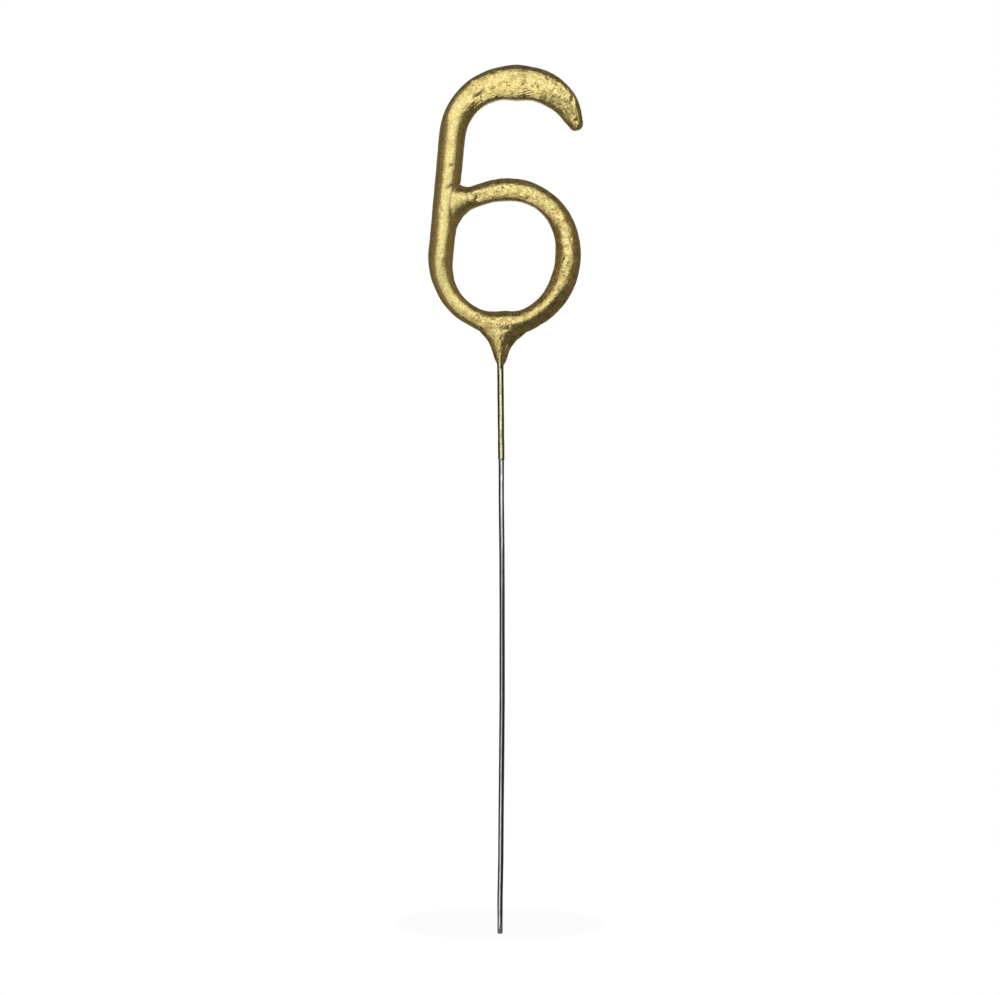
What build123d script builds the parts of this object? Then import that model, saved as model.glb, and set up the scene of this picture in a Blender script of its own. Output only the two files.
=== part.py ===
from build123d import *

import os
from math import cos, radians, sin

# A numeral sparkler. A steel wire is bent to the figure and welded to a steel stem, dipped twice in
# sparkler composition and sprayed gold down to a line on the stem. The figure stands in the XZ plane
# with its front towards -Y. The origin is the stem's lower tip, and all sizes are in millimetres.

# Steel wire and its two spot welds
WIRE_RADIUS = 0.55
TIP_ROUNDING = 0.2
WELD_BULGE = 0.4
WELD_GAP = 0.1

# Stem: a straight bare stretch, then a slight lean that starts at the gilding line
BARE_LENGTH = 97.0
LEAN_RADIUS = 200.0
LEAN_ANGLE = 0.8
NECK_LENGTH = 25.16

# Slant of the numeral's foot, which rises to the left
FOOT_SLANT = 1.7

# Centre line of the numeral, from the foot up the spine to the tip of the hook
LEFT_RADIUS = 12.68
LEFT_ANGLE = 93.65
SPINE_LENGTH = 24.95
SHOULDER_RADIUS = 11.75
SHOULDER_ANGLE = 78.2
CROWN_RADIUS = 24.4
CROWN_ANGLE = 12.6
HOOK_RADIUS = 10.88
HOOK_ANGLE = 67.3

# Centre line of the numeral, from the foot round the bowl to the spine
FOOT_RADIUS = 13.17
FOOT_ANGLE = 64.8
RIGHT_RADIUS = 16.22
RIGHT_ANGLE = 40.9
TOP_RADIUS = 11.97
TOP_ANGLE = 88.2

# First dip: its thickness on the wire, and where it runs out down the stem
FIRST_DIP_SPINE = 0.8
FIRST_DIP_BOWL = 0.7
FIRST_DIP_ROOT = 0.55
FIRST_DIP_END = 0.2
FIRST_DIP_RUN = 4.0

# Gold film, and half-widths over the film of the finished coat, in the figure's plane
GOLD_FILM = 0.1
FOOT_WIDTH = 2.62
LEFT_WIDTH = 2.06
SPINE_FOOT_WIDTH = 2.51
SPINE_WIDTH = 2.58
SPINE_HEAD_WIDTH = 2.66
SHOULDER_WIDTH = 2.89
CROWN_START_WIDTH = 3.37
CROWN_WIDTH = 3.63
HOOK_START_WIDTH = 3.43
HOOK_WIDTH = 2.96
TIP_WIDTH = 1.75
TIP_END_WIDTH = 1.55
TIP_COAT = 0.3
TIP_ROUNDNESS = 0.85
BOWL_FOOT_WIDTH = 2.27
RIGHT_START_WIDTH = 2.5
RIGHT_WIDTH = 2.57
TOP_START_WIDTH = 2.46
TOP_WIDTH = 2.28
TOP_END_WIDTH = 2.39
CLOSING_WIDTH = 2.15

# How much less deep than wide each half-section is: little, but more where the coat ran thick
FLATTENING = 0.17
FOOT_FLATTENING = 0.5
CROWN_FLATTENING = 0.87

# Spacing along the centre line of the sections that the coat is lofted through
SECTION_SPACING = 2.5

# Web where the bowl's arm swells into the spine: how far from the spine's centre line the arm itself ends,
# the spacing of the web's sections from that line outwards, and each section's half-width, half-depth and
# drop below the arm's centre line
ARM_STOP = 3.2
WEB_SPACING = 2.0
WEB_ROOT_WIDTH = 5.7
WEB_ROOT_DEPTH = 2.0
WEB_ROOT_DROP = 1.3
WEB_INNER_WIDTH = 4.0
WEB_INNER_DEPTH = 2.3
WEB_INNER_DROP = 0.35
WEB_OUTER_WIDTH = 2.75
WEB_OUTER_DEPTH = 2.2
WEB_END_WIDTH = 1.7
WEB_END_DEPTH = 1.5

# Funnel of run-down coat: each section's distance below the foot, half-width, half-depth and shift
# to the right, and the coat's thickness at the lip
LIP_DROP = 8.5
LIP_COAT = 0.11
THROAT_DROP = 5.7
THROAT_WIDTH = 1.68
THROAT_DEPTH = 1.3
FLARE_DROP = 3.2
FLARE_WIDTH = 3.02
FLARE_DEPTH = 1.75
FLARE_SHIFT = 0.3
MERGE_DROP = 2.0
MERGE_WIDTH = 4.3
MERGE_DEPTH = 1.9
MERGE_SHIFT = 0.45
ROOT_WIDTH = 6.0
ROOT_DEPTH = 1.8

# Centre lines
with BuildLine(Plane.XZ):
    bare = Line((0, 0), (0, BARE_LENGTH))
    lean = JernArc(bare @ 1, bare % 1, LEAN_RADIUS, LEAN_ANGLE)
    neck = PolarLine(lean @ 1, NECK_LENGTH, direction=lean % 1)

foot = neck @ 1
foot_direction = Vector(cos(radians(FOOT_SLANT)), -sin(radians(FOOT_SLANT)))

with BuildLine(Plane.XZ) as spine_line:
    left = JernArc(foot, (-foot_direction.X, -foot_direction.Y), LEFT_RADIUS, -LEFT_ANGLE)
    spine = PolarLine(left @ 1, SPINE_LENGTH, direction=left % 1)
    shoulder = JernArc(spine @ 1, spine % 1, SHOULDER_RADIUS, -SHOULDER_ANGLE)
    crown = JernArc(shoulder @ 1, shoulder % 1, CROWN_RADIUS, -CROWN_ANGLE)
    hook = JernArc(crown @ 1, crown % 1, HOOK_RADIUS, -HOOK_ANGLE)

with BuildLine(Plane.XZ) as bowl_line:
    foot_right = JernArc(foot, (foot_direction.X, foot_direction.Y), FOOT_RADIUS, FOOT_ANGLE)
    right = JernArc(foot_right @ 1, foot_right % 1, RIGHT_RADIUS, RIGHT_ANGLE)
    top = JernArc(right @ 1, right % 1, TOP_RADIUS, TOP_ANGLE)
    closing = IntersectingLine(top @ 1, top % 1, spine)

# The coat runs on past the wire's end at the tip of the hook
with BuildLine(Plane.XZ):
    tip = PolarLine(hook @ 1, WIRE_RADIUS + FIRST_DIP_SPINE + TIP_COAT, direction=hook % 1)

# Alignment of a solid that stands on the plane it is placed on
ON_FACE = (Align.CENTER, Align.CENTER, Align.MIN)


def section_plane(edge, t):
    """Plane square to a centre line, with its x axis lying in the figure's plane."""
    return Plane(origin=edge @ t, x_dir=(edge % t).cross(Vector(0, 1, 0)), z_dir=edge % t)


def tube(line, radius):
    """Round bar along a chain of centre lines."""
    with BuildPart() as bar:
        with BuildSketch(section_plane(line, 0)):
            Circle(radius)
        sweep(path=line)
    return bar.part


# Steel wires. Each butting end stops a weld gap short of the wire that it meets.
meeting_angle = 90 - (closing % 1).get_angle(spine % 0)
square_setback = WIRE_RADIUS + WELD_GAP
corner_reach = WIRE_RADIUS * sin(radians(abs(meeting_angle)))
slant_setback = (square_setback + corner_reach) / cos(radians(meeting_angle))
weld_radius = WIRE_RADIUS + WELD_BULGE

with BuildLine(Plane.XZ) as stem_wire_line:
    add(bare)
    add(lean)
    Line(lean @ 1, foot - (neck % 1) * square_setback)

with BuildLine(Plane.XZ) as bowl_wire_line:
    add([foot_right, right, top])
    Line(top @ 1, closing @ 1 - (closing % 1) * slant_setback)

with BuildPart() as stem_wire:
    add(tube(stem_wire_line.wires()[0], WIRE_RADIUS))
    fillet(stem_wire.edges().sort_by(Axis.Z)[0], TIP_ROUNDING)

with BuildPart() as numeral_wire:
    add(tube(spine_line.wires()[0], WIRE_RADIUS))
    add(tube(bowl_wire_line.wires()[0], WIRE_RADIUS))

with BuildPart() as stem_weld:
    with Locations(foot - (neck % 1) * WIRE_RADIUS):
        Sphere(weld_radius)
    add(numeral_wire.part, mode=Mode.SUBTRACT)
    add(stem_wire.part, mode=Mode.SUBTRACT)

with BuildPart() as bowl_weld:
    with Locations(closing @ 1 - (closing % 1) * WIRE_RADIUS):
        Sphere(weld_radius)
    add(numeral_wire.part, mode=Mode.SUBTRACT)

# First dip: a round coat on the whole figure, closed over the tip of the hook
with BuildPart() as first_dip:
    add(tube(spine_line.wires()[0], WIRE_RADIUS + FIRST_DIP_SPINE))
    add(tube(bowl_line.wires()[0], WIRE_RADIUS + FIRST_DIP_BOWL))
    with Locations(section_plane(hook, 1).location):
        Sphere(WIRE_RADIUS + FIRST_DIP_SPINE, arc_size1=0, align=ON_FACE)
    with Locations(Plane(origin=foot, z_dir=-(neck % 1)).location):
        Cone(WIRE_RADIUS + FIRST_DIP_ROOT, WIRE_RADIUS + FIRST_DIP_END, FIRST_DIP_RUN, align=ON_FACE)

with BuildPart() as first_dip_coat:
    add(first_dip.part)
    add([numeral_wire.part, stem_wire.part, stem_weld.part, bowl_weld.part], mode=Mode.SUBTRACT)


# Outside of the finished coat. Each stretch of centre line has a half-width at its start, middle and end
# and a flattening at its start and end. Each section is a plane, a half-width and a half-depth.
def coat_section(edge, t, widths, flattenings):
    """Oval section of the coat, square to its centre line."""
    start, middle, end = widths
    width = start * (1 - t) * (1 - 2 * t) + middle * 4 * t * (1 - t) + end * t * (2 * t - 1)
    flattening = flattenings[0] * (1 - t) + flattenings[1] * t
    return section_plane(edge, t), width, width - flattening


def web_section(step, width, depth, drop=0):
    """Oval section of the web, a number of spacings out from the spine and below the arm's centre line."""
    plane = section_plane(closing, 1 - step * WEB_SPACING / closing.length)
    plane.origin += plane.x_dir * drop
    return plane, width, depth


def funnel_section(drop, width, depth, shift=0):
    """Oval section of the funnel, square to the stem, at a distance below the foot and to its right."""
    plane = section_plane(neck, 1)
    plane.origin = foot - (neck % 1) * drop + Vector(shift, 0, 0)
    return plane, width, depth


def turned(section):
    """The same section, facing the other way along its centre line."""
    plane, width, depth = section
    return Plane(plane.origin, -plane.x_dir, -plane.z_dir), width, depth


def stretch_sections(stretches):
    """Evenly spaced sections along a chain of stretches, without the last one's end."""
    sections = []
    for edge, widths, flattenings in stretches:
        steps = max(2, round(edge.length / SECTION_SPACING))
        sections += [coat_section(edge, step / steps, widths, flattenings) for step in range(steps)]
    return sections


even_flattening = (FLATTENING, FLATTENING)
spine_stretches = [
    (left, (FOOT_WIDTH, LEFT_WIDTH, SPINE_FOOT_WIDTH), (FOOT_FLATTENING, FLATTENING)),
    (spine, (SPINE_FOOT_WIDTH, SPINE_WIDTH, SPINE_HEAD_WIDTH), even_flattening),
    (shoulder, (SPINE_HEAD_WIDTH, SHOULDER_WIDTH, CROWN_START_WIDTH), (FLATTENING, CROWN_FLATTENING)),
    (crown, (CROWN_START_WIDTH, CROWN_WIDTH, HOOK_START_WIDTH), (CROWN_FLATTENING, CROWN_FLATTENING)),
    (hook, (HOOK_START_WIDTH, HOOK_WIDTH, TIP_WIDTH), (CROWN_FLATTENING, 0)),
]
bowl_stretches = [
    (foot_right, (FOOT_WIDTH, BOWL_FOOT_WIDTH, RIGHT_START_WIDTH), (FOOT_FLATTENING, FLATTENING)),
    (right, (RIGHT_START_WIDTH, RIGHT_WIDTH, TOP_START_WIDTH), even_flattening),
    (top, (TOP_START_WIDTH, TOP_WIDTH, TOP_END_WIDTH), even_flattening),
]
closing_widths = (TOP_END_WIDTH, CLOSING_WIDTH, CLOSING_WIDTH)
closing_end = 1 - ARM_STOP / closing.length
closing_steps = max(2, round(closing_end * closing.length / SECTION_SPACING))

spine_sections = stretch_sections(spine_stretches) + [(section_plane(hook, 1), TIP_WIDTH, TIP_WIDTH)]
bowl_sections = stretch_sections(bowl_stretches)
for step in range(closing_steps + 1):
    t = closing_end * step / closing_steps
    bowl_sections.append(coat_section(closing, t, closing_widths, even_flattening))
arm_sections = [turned(section) for section in reversed(spine_sections)] + bowl_sections[1:]

web_sections = [
    web_section(0, WEB_ROOT_WIDTH, WEB_ROOT_DEPTH, WEB_ROOT_DROP),
    web_section(1, WEB_INNER_WIDTH, WEB_INNER_DEPTH, WEB_INNER_DROP),
    web_section(2, WEB_OUTER_WIDTH, WEB_OUTER_DEPTH),
    web_section(3, WEB_END_WIDTH, WEB_END_DEPTH),
]
funnel_sections = [
    funnel_section(THROAT_DROP, THROAT_WIDTH, THROAT_DEPTH),
    funnel_section(FLARE_DROP, FLARE_WIDTH, FLARE_DEPTH, FLARE_SHIFT),
    funnel_section(MERGE_DROP, MERGE_WIDTH, MERGE_DEPTH, MERGE_SHIFT),
    funnel_section(0, ROOT_WIDTH, ROOT_DEPTH, MERGE_SHIFT),
]


def lofted(sections, inset):
    """Solid through a row of oval sections, each drawn in by an inset."""
    with BuildPart() as solid:
        for plane, width, depth in sections:
            with BuildSketch(plane):
                Ellipse(width - inset, depth - inset)
        loft()
    return solid.part


def dipped_figure(inset):
    """The coated figure with its web, its funnel and its round hook tip, drawn in by an inset all over."""
    tip_end = turned((section_plane(tip, 1 - inset / tip.length), TIP_END_WIDTH, TIP_END_WIDTH))
    lip_radius = WIRE_RADIUS + LIP_COAT + GOLD_FILM
    lip = funnel_section(LIP_DROP - inset, lip_radius, lip_radius)
    with BuildPart() as figure:
        add(lofted([tip_end] + arm_sections, inset))
        tip_edge = figure.faces().filter_by(GeomType.PLANE).sort_by_distance(tip @ 1)[0].edges()
        fillet(tip_edge, TIP_ROUNDNESS * (TIP_END_WIDTH - inset))
        add(lofted(web_sections, inset))
        add(lofted([lip] + funnel_sections, inset))
    return figure.part


coat_outside = dipped_figure(GOLD_FILM)
gold_outside = dipped_figure(0)

with BuildPart() as second_dip_coat:
    add(coat_outside)
    add([first_dip.part, stem_wire.part], mode=Mode.SUBTRACT)

# Gold film: over the whole coat, and as a thin sleeve down the stem to the gilding line
with BuildLine(Plane.XZ) as sleeve_line:
    add(lean)
    Line(lean @ 1, foot - (neck % 1) * THROAT_DROP)

gold_sleeve = tube(sleeve_line.wires()[0], WIRE_RADIUS + GOLD_FILM)

with BuildPart() as gold_skin:
    add([gold_outside, gold_sleeve])
    add([coat_outside, stem_wire.part], mode=Mode.SUBTRACT)

pieces = {
    "stem_wire": stem_wire,
    "numeral_wire": numeral_wire,
    "stem_weld": stem_weld,
    "bowl_weld": bowl_weld,
    "first_dip_coat": first_dip_coat,
    "second_dip_coat": second_dip_coat,
    "gold_skin": gold_skin,
}

os.makedirs("parts", exist_ok=True)
for name, piece in pieces.items():
    piece.part.label = name
    export_step(piece.part, f"parts/{name}.step")
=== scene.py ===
import math
import random

import bmesh
import bpy
import numpy as np
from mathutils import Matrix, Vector, noise
from mathutils.bvhtree import BVHTree


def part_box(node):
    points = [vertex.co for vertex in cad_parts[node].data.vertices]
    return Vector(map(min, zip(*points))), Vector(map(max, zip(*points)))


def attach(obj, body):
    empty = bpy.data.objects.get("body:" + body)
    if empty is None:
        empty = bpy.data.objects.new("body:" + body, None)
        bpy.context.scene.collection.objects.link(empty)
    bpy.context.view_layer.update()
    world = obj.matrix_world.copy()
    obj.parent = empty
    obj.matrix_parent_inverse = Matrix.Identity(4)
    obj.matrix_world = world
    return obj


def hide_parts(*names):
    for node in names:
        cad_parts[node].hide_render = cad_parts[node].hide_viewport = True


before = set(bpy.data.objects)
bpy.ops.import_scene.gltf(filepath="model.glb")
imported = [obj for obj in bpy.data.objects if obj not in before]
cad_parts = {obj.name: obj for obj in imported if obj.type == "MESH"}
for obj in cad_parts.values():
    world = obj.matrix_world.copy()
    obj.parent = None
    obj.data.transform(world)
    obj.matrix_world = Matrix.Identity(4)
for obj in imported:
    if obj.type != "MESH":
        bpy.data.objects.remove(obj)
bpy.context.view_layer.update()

scene = bpy.context.scene
MM = 0.001

# The camera stands where the photo was taken from, level and straight in front of the numeral.
PHOTO_WIDTH = 1000
MM_PER_PIXEL = 0.2049
AIM_ACROSS = -0.25
AIM_HEIGHT = 89.38
ROLL = math.radians(0.153)
LENS = 100
SENSOR = 36

# The shapes below are in millimetres.

# The skin of the painted numeral and the coat under it: the size of their faces, how deep the coat lies, and
# how many times both are smoothed.
SKIN_GRAIN = 0.16
CORE_GRAIN = 0.32
CORE_INSET = 0.6
SMOOTHING = 3

# Faces of the film that lie nearer than this to what is under it are its inner ones, and corners nearer than
# this to each other are the same corner.
FILM_GAP = 0.05
SAME_CORNER = 0.001

# The skin ends at the funnel's lip, where it thins towards the stem.
LIP_HEIGHT = 116.5
LIP_TAPER = 0.17
LIP_REACH = 0.9

# Where the coat runs fuller or thinner than its even sweep: X, Y and Z of the place, which way its surface
# faces there, how far round the change reaches and how much it adds. Depth counts less towards the reach.
SWELLS = (
    ((-6.49, 0.0, 124.56), (-0.5, 0.0, -0.87), 2.5, -0.29),
    ((13.75, 0.0, 165.33), (-0.7, 0.0, -0.7), 1.2, -0.25),
    ((15.3, 0.0, 164.7), (0.2, 0.0, -1.0), 1.5, 0.25),
    ((-7.7, 0.0, 153.3), (0.0, 0.0, 1.0), 2.0, -0.22),
    ((9.0, 0.0, 169.6), (-0.6, 0.0, -0.8), 2.0, 0.12),
    ((4.0, 0.0, 122.6), (0.6, 0.0, -0.8), 2.5, 0.12),
    ((-1.4, 0.0, 117.6), (-1.0, 0.0, 0.0), 1.5, -0.1),
    ((12.28, 0.0, 166.76), (-0.9, 0.0, 0.4), 1.5, 0.4),
    ((0.9, 0.0, 127.6), (0.0, 0.0, 1.0), 0.9, 0.14),
    ((-4.0, 0.0, 127.5), (0.0, 0.0, 1.0), 1.8, -0.2),
    ((4.0, 0.0, 127.4), (0.0, 0.0, 1.0), 1.8, -0.2),
    ((-6.14, 0.0, 148.7), (0.0, 0.0, -1.0), 1.8, 0.28),
    ((-1.43, 0.0, 149.9), (0.0, 0.0, -1.0), 2.0, -0.26),
    ((-10.1, 0.0, 135.55), (1.0, 0.0, 0.0), 2.5, 0.12),
    ((-9.4, 0.0, 144.57), (1.0, 0.0, 0.0), 2.0, 0.14),
    ((-8.0, -1.6, 151.0), (0.0, -1.0, 0.0), 1.9, 0.2),
    ((-6.4, -1.6, 149.7), (0.0, -1.0, 0.0), 1.5, 0.28),
    ((-7.6, -1.6, 147.0), (0.0, -1.0, 0.0), 2.0, -0.2),
)
SWELL_STRETCH = 0.4

# The coat is a little fuller all along the side that faces the lower right: which way, and by how much.
FULLER_WAY = (0.7, 0.0, -0.7)
FULLER = 0.2

# Where the coat's section is squarer than an oval: the middle and reach of each stretch, X and Z, how much
# wider than deep it is, and the powers that make its upper half, and the front of its lower half, square. A
# power of 2 is an oval.
SQUARER = (
    ((1.5, 174.0), (10.3, 9.7), 1.3, 3.0, 5.5),
    ((1.5, 150.5), (10.9, 6.0), 1.08, 2.0, 4.0),
    ((12.3, 170.0), (5.8, 7.9), 1.2, 3.6, 2.0),
    ((-8.5, 171.5), (5.1, 7.3), 1.15, 3.0, 2.0),
)
OVAL = 2.0

# Each stretch is fully square near its middle and an oval again at its reach; a larger fade comes later and
# steeper. The coat's half-depth counts up to a limit, and the least cosine keeps it finite at the rim.
SQUARE_FADE = 1.6
SQUARE_DEPTH = 2.7
LEAST_COSINE = 0.05

# Creases in the front of the coat: the points of each one, X and Z, its half-width and its depth.
FOOT_HOLLOW = (
    (1.4, 120.9), (2.5, 122.6), (4.2, 123.6), (7.6, 125.3), (9.8, 127.1), (11.5, 128.8), (12.7, 130.2),
)
CREASES = (
    (((-5.6, 171.0), (-4.6, 171.4), (-3.9, 172.1)), 0.4, 0.16),
    (((-11.2, 152.1), (-10.4, 152.5), (-9.2, 152.7), (-8.4, 153.0)), 0.9, 0.16),
    (((-5.0, 151.3), (-4.8, 150.9), (-5.1, 150.4)), 0.45, 0.2),
    (((15.1, 166.4), (15.1, 165.6), (14.9, 164.9)), 0.3, 0.15),
    (((9.6, 174.5), (9.1, 171.2)), 0.22, 0.03),
    (((10.6, 174.6), (9.8, 172.5)), 0.22, 0.04),
    (((11.2, 174.1), (10.4, 171.9)), 0.22, 0.04),
    (((10.9, 169.9), (11.8, 169.0), (13.1, 167.0)), 0.9, 0.18),
    (((0.5, 118.2), (0.75, 119.6), (1.1, 120.8)), 0.5, 0.16),
    (FOOT_HOLLOW, 1.1, 0.32),
)

# Lumps all over the coat: their height, their size and where in the noise they start.
BROAD_LUMPS = (0.07, 3.6, 0)
SMALL_LUMPS = (0.035, 1.1, 50)
FINE_LUMPS = (0.012, 0.5, 90)

# The small and fine lumps are weaker on the spine: their share there, the X where they start to return, and
# the distance over which a whole share would.
SPINE_SHARE = 0.4
SPINE_RETURN = -10
SPINE_FADE = 8

# Pits that bubbles left in the coat: how many, the least and most of their radius, and of their depth as a
# share of it. Left of the spine's edge most of them are left out.
PIT_COUNT = 200
PIT_RADIUS = (0.18, 0.5)
PIT_DEPTH = (0.1, 0.28)
PIT_SEED = 11
SPINE_EDGE = -6
LEFT_OUT = 0.7

# The stem: how far it bows to the right of its axis at each height, and the height, radius and ovalness of
# each ring of its cut end. The rest of it is slightly oval, and the oval turns by up to so many radians over
# about such a height.
STEM_RADIUS = 0.55
STEM_TOP = 124.0
STEM_BOW = (
    (0, 0.0), (6.9, -0.03), (15.1, 0.11), (24.9, 0.15), (35.6, 0.235), (47.9, 0.3),
    (68.4, 0.24), (78.6, 0.17), (88.9, 0.02), (97, 0.0), (130, 0.0),
)
CUT_END = ((0.0, 0.3, 0.0), (0.06, 0.42, 0.0), (0.18, 0.51, 0.0), (0.35, STEM_RADIUS, 0.01))
STEM_OVAL = 0.025
STEM_TURN = 2.5
STEM_TURN_HEIGHT = 14
STEM_STEPS = 250
STEM_SIDES = 24

# The paint on the stem: the height above the gilding line and radius of each ring of its edge, then its
# length, how uneven its radius is and over what height, how its oval turns, and how it flares where it meets
# the funnel.
GILDING_HEIGHT = 97.0
GILDING_RADIUS = 0.65
GILDING_EDGE = ((0.0, 0.58), (0.08, 0.63))
GILDING_LENGTH = 21
GILDING_UNEVEN = 0.012
GILDING_UNEVEN_HEIGHT = 1.4
GILDING_OVAL = 0.03
GILDING_TURN = 3
GILDING_TURN_HEIGHT = 5
GILDING_STEPS = 60
FLARE_HEIGHT = 115.2
FLARE_REACH = 2.2
FLARE = 0.14

# Above the gilding line the stem leans as the CAD stem does.
STEM_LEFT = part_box("stem_wire")[0].x / MM
STEM_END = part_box("stem_wire")[1].z / MM
STEM_LEAN = (STEM_LEFT + STEM_RADIUS) / (STEM_END - GILDING_HEIGHT)

# The colours of the paint's flakes, and of the thin paint on the stem, which lets the steel show through. Then
# the smudges and flecks on both, and the painted shade on the gilded stem's left and right sides.
GOLD = ((0.3, (0.58, 0.428, 0.14)), (0.48, (0.7, 0.545, 0.2)), (0.66, (0.82, 0.722, 0.345)))
THIN_GOLD = ((0.3, (0.46, 0.42, 0.23)), (0.48, (0.66, 0.62, 0.4)), (0.66, (0.84, 0.81, 0.58)))
SMUDGE = (0.43, 0.3, 0.09)
FLECK = (0.28, 0.175, 0.05)
LEFT_SHADE = (0.06, 0.056, 0.008)
RIGHT_SHADE = (0.17, 0.13, 0.045)

# How far the painted shade at the sides of the stem takes to set in, as a share of its radius, and how dark it
# gets.
SIDE_FADE = 0.2
SIDE_DARKNESS = 0.85

# The X in metres over which the spine's smoother and duller paint turns into the rest.
SPINE_BAND = (-0.0095, -0.0055)

# The colours of the bare steel: its streaks, roll marks, duller middle, the painted shade on its sides and its
# cut end, which is darker partly as a cut end is and partly as painted shade.
STEEL = ((0.3, (0.38, 0.385, 0.38)), (0.5, (0.72, 0.73, 0.72)), (0.7, (0.95, 0.96, 0.95)))
ROLL_MARK = (0.4, 0.405, 0.41)
DULL_STEEL = (0.26, 0.265, 0.27)
STEEL_SIDE_SHADE = (0.045, 0.077, 0.105)
CUT_END_SHADE = (0.07, 0.075, 0.075)

# In metres: the height of the dull stretch's middle, how far from it the dullness fades, and the heights
# between which the cut end's darkness, partly painted shade against the floor's reflection, does.
DULL_MIDDLE = 0.054
DULL_FADE = (0.015, 0.034)
CUT_FADE = (0.0009, 0.0022)

# The colours of the hidden pieces: the weld's heat tints, and the composition's crumbs and metal filings.
HEAT_TINTS = ((0.3, (0.1, 0.1, 0.14)), (0.5, (0.3, 0.29, 0.28)), (0.7, (0.42, 0.34, 0.22)))
CRUMBS = ((0.3, (0.1, 0.095, 0.095)), (0.5, (0.19, 0.18, 0.18)), (0.7, (0.28, 0.27, 0.26)))
FILING = (0.45, 0.45, 0.46)

# The stage in metres: the round floor, set back from the stem, and the card behind.
PALE = (0.85, 0.85, 0.85)
FLOOR_RADIUS = 0.022
FLOOR_PLACE = (0, 0.014, 0)
FLOOR_WHITENESS = 0.96
CARD_WIDTH = 0.66
CARD_PLACE = (0, 1.0, 0.09)
CARD_WHITENESS = 1.0

# The panels are cool, the dim fills are warmer, and the room is a warm grey that gets lighter from front to
# back, between two values of the direction's Y.
DAYLIGHT = (1.0, 1.05, 1.08)
ROOM_GREY = (1.0, 0.93, 0.85)
LAMPLIGHT = (1.0, 0.6, 0.3)
ROOM_TURN = (-0.8, 0.8)
FRONT_OF_ROOM = 0.06
BACK_OF_ROOM = 0.2

# The soft panels: the bearings and rises that each one fills as the numeral sees it, in degrees, how bright
# it is and its colour. They stand this far from the place that they light, in metres.
PANELS = (
    ("left_panel", (-45, 3), (-55, 51), 0.9, DAYLIGHT),
    ("right_panel", (3, 38), (-5, 51), 0.9, DAYLIGHT),
    ("middle_panel", (-26, 20), (-5, 36), 0.6, DAYLIGHT),
    ("left_fill", (-82, -54), (-40, 40), 0.2, LAMPLIGHT),
    ("right_fill", (48, 82), (-30, 50), 0.12, LAMPLIGHT),
)
PANEL_DISTANCE = 0.8
LIT_PLACE = (0, 0, 0.15)


def shader(name):
    """A new material with its node tree and its main shader."""
    material = bpy.data.materials.new(name)
    material.use_nodes = True
    tree = material.node_tree
    return material, tree, tree.nodes["Principled BSDF"]


def add(tree, kind, inputs=(), **settings):
    """A new node with its settings and inputs; an input that is another node's output is joined on."""
    node = tree.nodes.new(kind)
    for name, value in settings.items():
        setattr(node, name, value)
    for name, value in dict(inputs).items():
        if isinstance(value, bpy.types.NodeSocket):
            tree.links.new(value, node.inputs[name])
        else:
            node.inputs[name].default_value = value
    return node


def maths(tree, operation, *values):
    """What an operation makes of amounts, each a number or a socket."""
    return add(tree, "ShaderNodeMath", enumerate(values), operation=operation).outputs["Value"]


def distance(tree, first, second):
    """How far apart two amounts are."""
    return maths(tree, "ABSOLUTE", maths(tree, "SUBTRACT", first, second))


def object_place(tree):
    """The place of a point on the object, in metres."""
    return add(tree, "ShaderNodeTexCoord").outputs["Object"]


def part_of(tree, place, axis):
    """One of the three numbers of a place."""
    return add(tree, "ShaderNodeSeparateXYZ", {"Vector": place}).outputs[axis]


def sideways_on_stem(tree):
    """How far to the right a point lies on the stem, from -1 to 1."""
    return add(tree, "ShaderNodeAttribute", attribute_name="sideways").outputs["Fac"]


def speckle(tree, place, per_metre, detail=3.0, rough=0.55):
    """Even noise of so many cells per metre."""
    values = {"Vector": place, "Scale": per_metre, "Detail": detail, "Roughness": rough}
    return add(tree, "ShaderNodeTexNoise", values).outputs["Fac"]


def ramp(tree, amount, stops):
    """Colours along an amount from 0 to 1."""
    node = add(tree, "ShaderNodeValToRGB", {"Fac": amount})
    band = node.color_ramp
    while len(band.elements) < len(stops):
        band.elements.new(0.5)
    for element, (position, colour) in zip(band.elements, stops):
        element.position = position
        element.color = (*colour, 1)
    return node.outputs["Color"]


def spread(tree, amount, before, after):
    """Carries an amount from between one pair of values to between another, and keeps it there."""
    values = {
        "Value": amount,
        "From Min": before[0],
        "From Max": before[1],
        "To Min": after[0],
        "To Max": after[1],
    }
    return add(tree, "ShaderNodeMapRange", values).outputs["Result"]


def blended(tree, amount, first, second):
    """A colour between two, each a colour or a socket."""
    node = add(tree, "ShaderNodeMix", data_type="RGBA")
    tree.links.new(amount, node.inputs["Factor"])
    for name, value in (("A", first), ("B", second)):
        socket = [one for one in node.inputs if one.name == name and one.type == "RGBA"][0]
        if isinstance(value, bpy.types.NodeSocket):
            tree.links.new(value, socket)
        else:
            socket.default_value = (*value, 1)
    return [one for one in node.outputs if one.type == "RGBA"][0]


def painted_side_shade(tree, colour, shift, bare, dark):
    """A colour on the stem with painted shade to its left and right, where a round wire turns away from the
    light.

    Both are shares of the radius: the lit stretch reaches as far as bare to each side of the shift.
    """
    off = distance(tree, sideways_on_stem(tree), shift)
    amount = spread(tree, off, (bare, bare + SIDE_FADE), (0.0, SIDE_DARKNESS))
    return blended(tree, amount, colour, dark)


def surface(tree, body, colour, rough, height, strength, relief):
    """Joins a colour, a roughness and a bump that is so many metres high to the main shader."""
    bump = add(tree, "ShaderNodeBump", {"Height": height, "Strength": strength, "Distance": relief})
    tree.links.new(colour, body.inputs["Base Color"])
    tree.links.new(rough, body.inputs["Roughness"])
    tree.links.new(bump.outputs["Normal"], body.inputs["Normal"])


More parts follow.
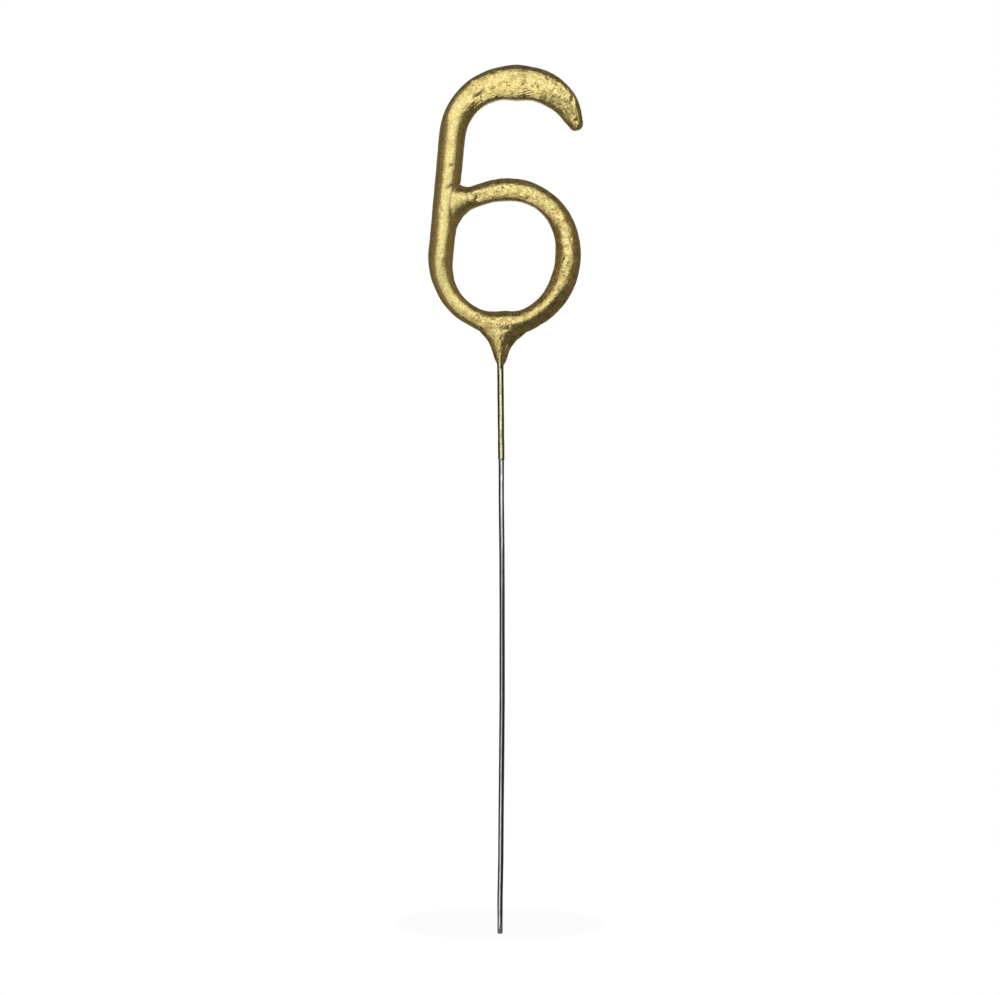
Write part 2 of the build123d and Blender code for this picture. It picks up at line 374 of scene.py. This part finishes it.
def gold_paint(name, relief, wear, polish, flake_colours, on_stem=False):
    """Metallic gold paint over a grainy coat: bright flakes, smudges, and dark flecks in patches.

    The spine's coat is smoother and duller than the rest. Relief is the height of the grain in metres, wear
    is how much of the paint is smudged and flecked, and polish is the roughness of its bright parts. On the
    stem the paint is thin, and its sides are darkened with painted shade.
    """
    material, tree, body = shader(name)
    place = object_place(tree)
    across = part_of(tree, place, "X")
    coarse = maths(tree, "MULTIPLY", spread(tree, across, SPINE_BAND, (0.35, 1.0)), wear)
    grain = speckle(tree, place, per_metre=1500, detail=2.5)
    flakes = speckle(tree, place, per_metre=2900, detail=2.0)
    blotches = speckle(tree, place, per_metre=800, detail=4.0, rough=0.7)
    specks = speckle(tree, place, per_metre=2000, detail=2.0)
    patches = speckle(tree, place, per_metre=380)

    smudges = maths(tree, "MULTIPLY", spread(tree, blotches, (0.45, 0.62), (0.0, 0.85)), coarse)
    in_patches = spread(tree, patches, (0.4, 0.56), (0.2, 1.0))
    flecks = maths(tree, "MULTIPLY", spread(tree, specks, (0.56, 0.65), (0.0, 1.0)), in_patches)
    flecks = maths(tree, "MULTIPLY", flecks, coarse)
    colour = blended(tree, smudges, ramp(tree, flakes, flake_colours), SMUDGE)
    colour = blended(tree, flecks, colour, FLECK)
    # Painted shade: on the stem the paint's left and right sides are darkened, dark olive on the left and
    # brown on the right.
    if on_stem:
        rightwards = spread(tree, sideways_on_stem(tree), (-0.3, 0.3), (0.0, 1.0))
        shade = blended(tree, rightwards, LEFT_SHADE, RIGHT_SHADE)
        colour = painted_side_shade(tree, colour, shift=-0.08, bare=0.28, dark=shade)

    rough = spread(tree, grain, (0.3, 0.7), (polish, polish + 0.08))
    rough = maths(tree, "ADD", rough, spread(tree, across, SPINE_BAND, (0.045, 0.0)))
    dents = maths(tree, "ADD", maths(tree, "MULTIPLY", smudges, 0.35), maths(tree, "MULTIPLY", flecks, 0.5))
    height = maths(tree, "SUBTRACT", maths(tree, "MULTIPLY", grain, coarse), dents)
    surface(tree, body, colour, rough, height, strength=1.0, relief=relief)
    body.inputs["Metallic"].default_value = 0.94
    return material


def steel_wire():
    """Bare drawn steel, streaked lengthwise, marked by straightening rolls, duller halfway up, with painted
    shade at its sides.
    """
    material, tree, body = shader("steel_wire")
    place = object_place(tree)
    height = part_of(tree, place, "Z")
    lengthened = add(tree, "ShaderNodeMapping", {"Vector": place, "Scale": (1.0, 1.0, 0.12)})
    streaks = speckle(tree, lengthened.outputs["Vector"], per_metre=4200)
    marks = speckle(tree, place, per_metre=260, detail=2.0)

    marked = spread(tree, marks, (0.4, 0.65), (0.0, 0.5))
    colour = blended(tree, marked, ramp(tree, streaks, STEEL), ROLL_MARK)
    dull = spread(tree, distance(tree, height, DULL_MIDDLE), DULL_FADE, (0.5, 0.0))
    colour = blended(tree, dull, colour, DULL_STEEL)
    # Painted shade: the steel's left and right sides are darkened, and the lit stretch between them moves from
    # left at the bottom to right at the top.
    shift = spread(tree, height, (0.0, GILDING_HEIGHT * MM), (-0.2, 0.2))
    colour = painted_side_shade(tree, colour, shift, bare=0.26, dark=STEEL_SIDE_SHADE)
    # The lowest part is darker, partly as a cut end is and partly painted shade that keeps the floor's
    # reflection from whitening it.
    colour = blended(tree, spread(tree, height, CUT_FADE, (0.85, 0.0)), colour, CUT_END_SHADE)

    rough = spread(tree, marks, (0.35, 0.65), (0.06, 0.15))
    surface(tree, body, colour, rough, streaks, strength=0.25, relief=0.00001)
    body.inputs["Metallic"].default_value = 1.0
    return material


def weld_metal():
    """Scorched weld metal with blue and straw heat tints."""
    material, tree, body = shader("weld")
    scorch = speckle(tree, object_place(tree), per_metre=1600)
    colour = ramp(tree, scorch, HEAT_TINTS)
    rough = spread(tree, scorch, (0.3, 0.7), (0.35, 0.6))
    surface(tree, body, colour, rough, scorch, strength=0.5, relief=0.0001)
    body.inputs["Metallic"].default_value = 0.9
    return material


def composition():
    """Dull grey dried sparkler composition with grains of metal in it."""
    material, tree, body = shader("composition")
    place = object_place(tree)
    crumbs = speckle(tree, place, per_metre=1900, detail=4.0)
    cells = add(tree, "ShaderNodeTexVoronoi", {"Vector": place, "Scale": 2600.0})
    chosen = add(tree, "ShaderNodeSeparateColor", {"Color": cells.outputs["Color"]}).outputs["Red"]
    filings = spread(tree, chosen, (0.8, 0.84), (0.0, 1.0))
    colour = blended(tree, filings, ramp(tree, crumbs, CRUMBS), FILING)
    rough = spread(tree, filings, (0.0, 1.0), (0.92, 0.45))
    surface(tree, body, colour, rough, crumbs, strength=0.6, relief=0.0001)
    tree.links.new(filings, body.inputs["Metallic"])
    return material


def seen_white(name, whiteness):
    """A pale surface that looks white in the picture and in reflections, over paint that takes shadow."""
    material, tree, body = shader(name)
    body.inputs["Base Color"].default_value = (*PALE, 1)
    body.inputs["Roughness"].default_value = 0.9
    body.inputs["Specular IOR Level"].default_value = 0.0
    path = add(tree, "ShaderNodeLightPath").outputs
    looks = maths(tree, "MAXIMUM", path["Is Camera Ray"], path["Is Glossy Ray"])
    looks = maths(tree, "MAXIMUM", looks, path["Is Transmission Ray"])
    share = maths(tree, "MULTIPLY", looks, whiteness)
    glow = add(tree, "ShaderNodeEmission", {"Color": (1, 1, 1, 1), "Strength": 1.0})
    layers = {0: share, 1: body.outputs["BSDF"], 2: glow.outputs["Emission"]}
    mixed = add(tree, "ShaderNodeMixShader", layers)
    tree.links.new(mixed.outputs["Shader"], tree.nodes["Material Output"].inputs["Surface"])
    return material


def shown(name, mesh, material):
    """Puts a mesh in the scene with its material and smooth shading."""
    obj = bpy.data.objects.new(name, mesh)
    scene.collection.objects.link(obj)
    mesh.materials.clear()
    mesh.materials.append(material)
    mesh.shade_smooth()
    return obj


def piece(name, mesh, material, slot, *nodes):
    """A piece of the object, standing for the CAD nodes named."""
    obj = shown(name, mesh, material)
    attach(obj, "root")
    if nodes:
        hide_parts(*nodes)


def to_mesh(name, bm):
    """A mesh from a finished bmesh, with its faces turned outwards."""
    bmesh.ops.recalc_face_normals(bm, faces=bm.faces)
    mesh = bpy.data.meshes.new(name)
    bm.to_mesh(mesh)
    bm.free()
    return mesh


def outside_of_numeral(name, grain):
    """The outside of the painted numeral above the funnel's lip, as one closed skin of even faces."""
    inner = bmesh.new()
    for node in ("second_dip_coat", "stem_wire"):
        inner.from_mesh(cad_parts[node].data)
    under_film = BVHTree.FromBMesh(inner)
    inner.free()

    bm = bmesh.new()
    bm.from_mesh(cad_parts["gold_skin"].data)
    bmesh.ops.remove_doubles(bm, verts=bm.verts, dist=SAME_CORNER * MM)
    hidden = [
        face for face in bm.faces if under_film.find_nearest(face.calc_center_median())[3] < FILM_GAP * MM
    ]
    bmesh.ops.delete(bm, geom=hidden, context="FACES")
    everything = bm.verts[:] + bm.edges[:] + bm.faces[:]
    bmesh.ops.bisect_plane(
        bm, geom=everything, plane_co=(0, 0, LIP_HEIGHT * MM), plane_no=(0, 0, 1), clear_inner=True
    )
    bmesh.ops.holes_fill(bm, edges=[edge for edge in bm.edges if edge.is_boundary])

    source = bpy.data.objects.new(name, to_mesh(name, bm))
    scene.collection.objects.link(source)
    remesh = source.modifiers.new("skin", "REMESH")
    remesh.mode = "VOXEL"
    remesh.voxel_size = grain * MM
    skin = bpy.data.meshes.new_from_object(source.evaluated_get(bpy.context.evaluated_depsgraph_get()))
    bpy.data.objects.remove(source)

    bm = bmesh.new()
    bm.from_mesh(skin)
    for _ in range(SMOOTHING):
        bmesh.ops.smooth_vert(
            bm, verts=bm.verts, factor=0.5, use_axis_x=True, use_axis_y=True, use_axis_z=True
        )
    return to_mesh(name, bm)


def places_and_facings(mesh):
    """The vertices of a mesh in millimetres and the way each one faces."""
    count = len(mesh.vertices)
    places = np.empty(count * 3)
    mesh.vertices.foreach_get("co", places)
    facings = np.empty(count * 3)
    mesh.vertex_normals.foreach_get("vector", facings)
    return places.reshape(-1, 3) / MM, facings.reshape(-1, 3)


def set_places(mesh, places):
    """Moves the vertices of a mesh to places in millimetres."""
    mesh.vertices.foreach_set("co", (places * MM).ravel())
    mesh.update()


def square_off(places, facings):
    """How far the front and back of the coat stand out where its section is squarer than an oval."""
    out = np.zeros(len(places))
    for middle, reach, width_to_depth, upper, lower in SQUARER:
        along = np.abs(places[:, 0] - middle[0]) / reach[0]
        up = np.abs(places[:, 2] - middle[1]) / reach[1]
        near = np.clip(SQUARE_FADE - SQUARE_FADE * np.maximum(along, up), 0, 1)
        near = near**2 * (3 - 2 * near)
        sideways = np.hypot(facings[:, 0], facings[:, 2]) * width_to_depth
        turn = np.arctan2(sideways, np.abs(facings[:, 1]))
        depth = np.abs(places[:, 1]) / np.maximum(np.cos(turn), LEAST_COSINE)
        power = np.where(facings[:, 2] > 0, upper, np.where(places[:, 1] < 0, lower, OVAL))
        squarer = (1 - np.sin(turn) ** power) ** (1 / power) - np.cos(turn)
        out += np.sign(places[:, 1]) * np.minimum(depth, SQUARE_DEPTH) * squarer * near
    return out


def lumps(places, height, size, start):
    """Smooth lumps of about so many millimetres in height and size."""
    return height * np.array([noise.noise(Vector(place) / size) for place in places + start])


def pits(places):
    """Small pits where bubbles broke in the wet coat, more of them on the crown, the hook and the bowl."""
    push = np.zeros(len(places))
    chooser = random.Random(PIT_SEED)
    made = 0
    while made < PIT_COUNT:
        place = places[chooser.randrange(len(places))]
        on_spine = place[0] < SPINE_EDGE
        if on_spine and chooser.random() < LEFT_OUT:
            continue
        radius = chooser.uniform(*PIT_RADIUS)
        gap = np.sum((places - place) ** 2, axis=1) / radius**2
        push -= chooser.uniform(*PIT_DEPTH) * radius * np.exp(-gap)
        made += 1
    return push


def creases(places, facings):
    """Grooves in the front of the coat along short lines."""
    push = np.zeros(len(places))
    flat = places[:, (0, 2)]
    front = np.clip(-facings[:, 1], 0, 1)
    for points, width, depth in CREASES:
        nearest = np.full(len(places), np.inf)
        for start, end in zip(np.array(points), np.array(points[1:])):
            run = end - start
            share = np.clip((flat - start) @ run / (run @ run), 0, 1)
            nearest = np.minimum(nearest, np.linalg.norm(flat - start - share[:, None] * run, axis=1))
        push -= depth * front * np.exp(-((nearest / width) ** 2))
    return push


def swells(places, facings):
    """How much fuller the coat is all along its lower right side, and fuller or thinner in places."""
    push = FULLER * np.clip(facings @ np.array(FULLER_WAY), 0, 1)
    for place, facing, reach, amount in SWELLS:
        gap = places - np.array(place)
        gap[:, 1] *= SWELL_STRETCH
        near = np.exp(-np.sum(gap**2, axis=1) / reach**2)
        turned = np.clip(facings @ np.array(facing), 0, 1)
        push += amount * near * turned
    return push


def gild(mesh):
    """Gives the even skin the swells, lumps, creases and pits of a dipped and painted coat."""
    places, facings = places_and_facings(mesh)
    places[:, 1] += square_off(places, facings)
    set_places(mesh, places)
    places, facings = places_and_facings(mesh)
    coarse = np.clip(SPINE_SHARE + (places[:, 0] - SPINE_RETURN) / SPINE_FADE, SPINE_SHARE, 1)
    push = lumps(places, *BROAD_LUMPS)
    push += coarse * (lumps(places, *SMALL_LUMPS) + lumps(places, *FINE_LUMPS))
    push += pits(places) + creases(places, facings)
    push -= LIP_TAPER * np.exp(-(((places[:, 2] - LIP_HEIGHT) / LIP_REACH) ** 2))
    push += swells(places, facings)
    set_places(mesh, places + facings * push[:, None])


def inset(mesh, depth):
    """Draws every vertex of a mesh inwards."""
    places, facings = places_and_facings(mesh)
    set_places(mesh, places - facings * depth)


def axis_place(height):
    """How far to the right the stem's middle lies at a height: its bow and, above the gilding, its lean."""
    heights, offsets = zip(*STEM_BOW)
    above = max(0.0, height - GILDING_HEIGHT)
    return float(np.interp(height, heights, offsets)) + STEM_LEAN * above


def tube(name, rings):
    """A closed tube along the stem from rings of (height, radius, how oval, which way)."""
    angles = [2 * math.pi * side / STEM_SIDES for side in range(STEM_SIDES)]
    bm = bmesh.new()
    loops = []
    for height, radius, oval, turn in rings:
        loop = []
        for angle in angles:
            out = radius * (1 + oval * math.cos(2 * (angle - turn)))
            place = (axis_place(height) + out * math.cos(angle), out * math.sin(angle), height)
            loop.append(bm.verts.new(Vector(place) * MM))
        loops.append(loop)
    for lower, upper in zip(loops, loops[1:]):
        for side in range(STEM_SIDES):
            following = (side + 1) % STEM_SIDES
            bm.faces.new((lower[side], lower[following], upper[following], upper[side]))
    bm.faces.new(loops[0])
    bm.faces.new(loops[-1])
    mesh = to_mesh(name, bm)
    sideways = mesh.attributes.new("sideways", "FLOAT", "POINT")
    sideways.data.foreach_set("value", [math.cos(angle) for angle in angles] * len(rings))
    return mesh


def stem_mesh():
    """The bare wire: a cut end with its edge broken, then a long run that is a little out of round."""
    rings = [(*ring, 0.0) for ring in CUT_END]
    start = CUT_END[-1][0]
    for step in range(1, STEM_STEPS + 1):
        height = start + (STEM_TOP - start) * step / STEM_STEPS
        turn = STEM_TURN * noise.noise(Vector((0, 0, height / STEM_TURN_HEIGHT)))
        rings.append((height, STEM_RADIUS, STEM_OVAL, turn))
    return tube("stem", rings)


def gilding_mesh():
    """The paint film on the stem between the gilding line and the funnel."""
    rings = [(GILDING_HEIGHT + above, radius, 0.0, 0.0) for above, radius in GILDING_EDGE]
    start = rings[-1][0]
    for step in range(1, GILDING_STEPS + 1):
        height = start + GILDING_LENGTH * step / GILDING_STEPS
        uneven = GILDING_UNEVEN * noise.noise(Vector((3, 0, height / GILDING_UNEVEN_HEIGHT)))
        flare = FLARE * min(1.0, max(0.0, (height - FLARE_HEIGHT) / FLARE_REACH)) ** 2
        turn = GILDING_TURN * noise.noise(Vector((7, 0, height / GILDING_TURN_HEIGHT)))
        rings.append((height, GILDING_RADIUS + uneven + flare, GILDING_OVAL, turn))
    return tube("stem_gilding", rings)


def build_object():
    """The pieces of the sparkler, and the materials of the CAD nodes that stay."""
    gold = gold_paint("gold_paint", relief=0.00005, wear=1.0, polish=0.215, flake_colours=GOLD)
    thin_gold = gold_paint(
        "thin_gold_paint", relief=0.000006, wear=0.7, polish=0.1, flake_colours=THIN_GOLD, on_stem=True
    )
    steel = steel_wire()
    weld = weld_metal()
    dip = composition()

    skin = outside_of_numeral("gilded_numeral", SKIN_GRAIN)
    gild(skin)
    piece("gilded_numeral", skin, gold, "gold_paint", "gold_skin")
    piece("stem_gilding", gilding_mesh(), thin_gold, "gold_paint")
    core = outside_of_numeral("outer_dip", CORE_GRAIN)
    inset(core, CORE_INSET)
    piece("outer_dip", core, dip, "composition", "second_dip_coat")
    piece("stem", stem_mesh(), steel, "steel_wire", "stem_wire")

    finishes = {"numeral_wire": steel, "stem_weld": weld, "bowl_weld": weld, "first_dip_coat": dip}
    for name, material in finishes.items():
        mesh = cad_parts[name].data
        mesh.materials.clear()
        mesh.materials.append(material)


def staged(name, bm, material, place, turn=(0, 0, 0)):
    """A flat piece of the stage from a finished bmesh."""
    mesh = bpy.data.meshes.new(name)
    bm.to_mesh(mesh)
    bm.free()
    obj = shown(name, mesh, material)
    obj.location = place
    obj.rotation_euler = turn


def build_stage():
    """A small round pale floor under the stem, and a white card that stands behind."""
    floor = bmesh.new()
    bmesh.ops.create_circle(floor, cap_ends=True, segments=128, radius=FLOOR_RADIUS)
    staged("floor", floor, seen_white("floor_white", FLOOR_WHITENESS), FLOOR_PLACE)
    card = bmesh.new()
    bmesh.ops.create_grid(card, x_segments=1, y_segments=1, size=CARD_WIDTH / 2)
    upright = (math.radians(90), 0, 0)
    staged("back_card", card, seen_white("card_white", CARD_WHITENESS), CARD_PLACE, upright)


def panel(name, bearings, rises, radiance, tint):
    """A soft panel that faces the numeral and fills its view between two bearings and two rises."""
    bearing, rise = [math.radians(sum(pair) / 2) for pair in (bearings, rises)]
    halves = [math.radians((pair[1] - pair[0]) / 2) for pair in (bearings, rises)]
    width, height = [2 * PANEL_DISTANCE * math.tan(half) for half in halves]
    light = bpy.data.lights.new(name, "AREA")
    light.shape = "RECTANGLE"
    light.size = width
    light.size_y = height
    light.energy = radiance * math.pi * width * height
    light.color = tint
    obj = bpy.data.objects.new(name, light)
    out = Vector((math.sin(bearing) * math.cos(rise), -math.cos(bearing) * math.cos(rise), math.sin(rise)))
    obj.location = Vector(LIT_PLACE) + out * PANEL_DISTANCE
    obj.rotation_euler = out.to_track_quat("Z", "Y").to_euler()
    scene.collection.objects.link(obj)


def light_scene():
    """Soft panels in front that leave the lower right dark, dim ones at the sides, and a grey room."""
    for one in PANELS:
        panel(*one)
    world = bpy.data.worlds.new("room")
    world.use_nodes = True
    tree = world.node_tree
    looking = add(tree, "ShaderNodeTexCoord").outputs["Generated"]
    backwards = part_of(tree, looking, "Y")
    background = tree.nodes["Background"]
    background.inputs["Color"].default_value = (*ROOM_GREY, 1)
    brightness = spread(tree, backwards, ROOM_TURN, (FRONT_OF_ROOM, BACK_OF_ROOM))
    tree.links.new(brightness, background.inputs["Strength"])
    scene.world = world


def place_camera():
    """The camera at the photo's place and tilt."""
    data = bpy.data.cameras.new("camera")
    data.lens = LENS
    data.sensor_width = SENSOR
    camera = bpy.data.objects.new("camera", data)
    away = PHOTO_WIDTH * MM_PER_PIXEL * LENS / SENSOR
    camera.location = Vector((AIM_ACROSS, -away, AIM_HEIGHT)) * MM
    camera.rotation_euler = (math.radians(90), -ROLL, 0)
    scene.collection.objects.link(camera)
    scene.camera = camera


build_object()
build_stage()
light_scene()
place_camera()
scene.view_settings.view_transform = "Standard"
